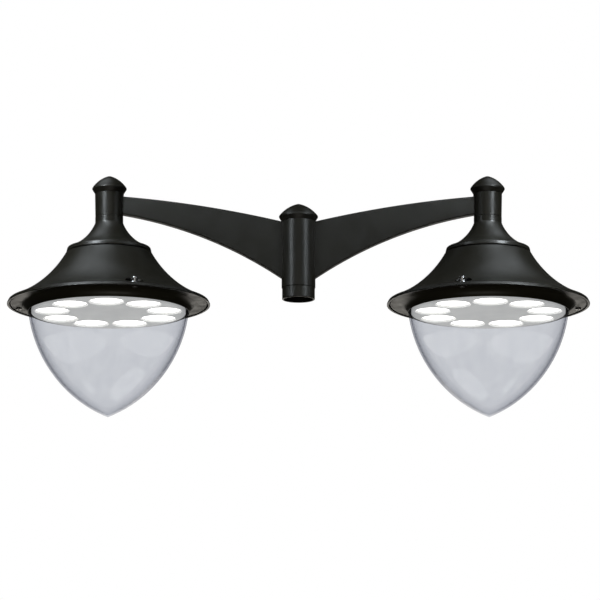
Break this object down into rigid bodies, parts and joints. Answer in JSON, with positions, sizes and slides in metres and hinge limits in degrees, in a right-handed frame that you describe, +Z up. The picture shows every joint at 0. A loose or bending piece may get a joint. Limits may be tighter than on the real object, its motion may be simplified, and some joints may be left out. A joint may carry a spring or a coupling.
{
  "type": "twin-arm post-top street lamp with two pendant led lanterns",
  "caption": "Post-top bracket with curved hollow arms that carry bell-shaped LED lanterns with clear ogive bowls, slipped over a round column and clamped by set screws.",
  "frame": {"origin": "centre of the collar's mouth, where the column enters", "axes": "+Z up along the column, +X along the right arm, -Y is the front"},
  "size_m": [1.55, 0.54, 0.6549],
  "materials": {
    "painted_dark": "satin powder coat, dark olive grey",
    "painted_arm": "satin powder coat, dark olive grey, fine texture",
    "painted_under": "satin powder coat",
    "steel": "stainless fasteners",
    "bright_steel": "bright turned stainless",
    "zinc_steel": "zinc plated",
    "bare_aluminium": "die cast, bare",
    "panel_grey": "light grey moulding",
    "board_white": "white solder mask",
    "lens_white": "opal lens",
    "clear_bowl": "clear polycarbonate",
    "gasket_rubber": "black silicone",
    "cable_rubber": "black cable sheath",
    "connector_plastic": "white nylon",
    "driver_case": "off-white case"
  },
  "bodies": {
    "bracket": {"post_collar": "painted_dark", "post_cap": "painted_dark", "collar_set_screws": "steel", "hub_connector": "connector_plastic", "left_arm": "painted_arm", "left_sleeve": "painted_dark", "left_sleeve_cap": "painted_dark", "left_supply_cable": "cable_rubber", "right_arm": "painted_arm", "right_sleeve": "painted_dark", "right_sleeve_cap": "painted_dark", "right_supply_cable": "cable_rubber"},
    "left_lantern": {"left_neck_casting": "painted_dark", "left_canopy": "painted_dark", "left_stem": "zinc_steel", "left_stem_nut": "zinc_steel", "left_flange_gasket": "gasket_rubber", "left_flange_bolts": "steel", "left_gear_plate": "zinc_steel", "left_driver": "driver_case", "left_lantern_lead": "cable_rubber", "left_heat_sink": "bare_aluminium", "left_led_panel": "panel_grey", "left_led_boards": "board_white", "left_lenses": "lens_white", "left_panel_screws": "steel", "left_barrel_nuts": "bright_steel"},
    "left_bowl_frame": {"left_frame_ring": "painted_under", "left_frame_seal": "gasket_rubber", "left_bowl": "clear_bowl", "left_bowl_gasket": "gasket_rubber", "left_bowl_clamp": "bare_aluminium", "left_clamp_screws": "steel"},
    "left_screw_1": {"left_captive_screw_1": "steel"},
    "left_screw_2": {"left_captive_screw_2": "steel"},
    "left_screw_3": {"left_captive_screw_3": "steel"},
    "right_lantern": {"right_neck_casting": "painted_dark", "right_canopy": "painted_dark", "right_stem": "zinc_steel", "right_stem_nut": "zinc_steel", "right_flange_gasket": "gasket_rubber", "right_flange_bolts": "steel", "right_gear_plate": "zinc_steel", "right_driver": "driver_case", "right_lantern_lead": "cable_rubber", "right_heat_sink": "bare_aluminium", "right_led_panel": "panel_grey", "right_led_boards": "board_white", "right_lenses": "lens_white", "right_panel_screws": "steel", "right_barrel_nuts": "bright_steel"},
    "right_bowl_frame": {"right_frame_ring": "painted_under", "right_frame_seal": "gasket_rubber", "right_bowl": "clear_bowl", "right_bowl_gasket": "gasket_rubber", "right_bowl_clamp": "bare_aluminium", "right_clamp_screws": "steel"},
    "right_screw_1": {"right_captive_screw_1": "steel"},
    "right_screw_2": {"right_captive_screw_2": "steel"},
    "right_screw_3": {"right_captive_screw_3": "steel"}
  },
  "joints": [
    {"name": "left_lantern_swivel", "type": "hinge", "parent": "bracket", "child": "left_lantern", "pos_m": [-0.505, 0, 0.24], "axis": [0, 0, 1], "range_deg": [-170, 170]},
    {"name": "left_frame_drop", "type": "slide", "parent": "left_lantern", "child": "left_bowl_frame", "axis": [0, 0, -1], "range_m": [0, 0.12]},
    {"name": "left_screw_1_back_out", "type": "slide", "parent": "left_bowl_frame", "child": "left_screw_1", "axis": [0, 0, -1], "range_m": [0, 0.012]},
    {"name": "left_screw_2_back_out", "type": "slide", "parent": "left_bowl_frame", "child": "left_screw_2", "axis": [0, 0, -1], "range_m": [0, 0.012]},
    {"name": "left_screw_3_back_out", "type": "slide", "parent": "left_bowl_frame", "child": "left_screw_3", "axis": [0, 0, -1], "range_m": [0, 0.012]},
    {"name": "right_lantern_swivel", "type": "hinge", "parent": "bracket", "child": "right_lantern", "pos_m": [0.505, 0, 0.24], "axis": [0, 0, 1], "range_deg": [-170, 170]},
    {"name": "right_frame_drop", "type": "slide", "parent": "right_lantern", "child": "right_bowl_frame", "axis": [0, 0, -1], "range_m": [0, 0.12]},
    {"name": "right_screw_1_back_out", "type": "slide", "parent": "right_bowl_frame", "child": "right_screw_1", "axis": [0, 0, -1], "range_m": [0, 0.012]},
    {"name": "right_screw_2_back_out", "type": "slide", "parent": "right_bowl_frame", "child": "right_screw_2", "axis": [0, 0, -1], "range_m": [0, 0.012]},
    {"name": "right_screw_3_back_out", "type": "slide", "parent": "right_bowl_frame", "child": "right_screw_3", "axis": [0, 0, -1], "range_m": [0, 0.012]}
  ]
}
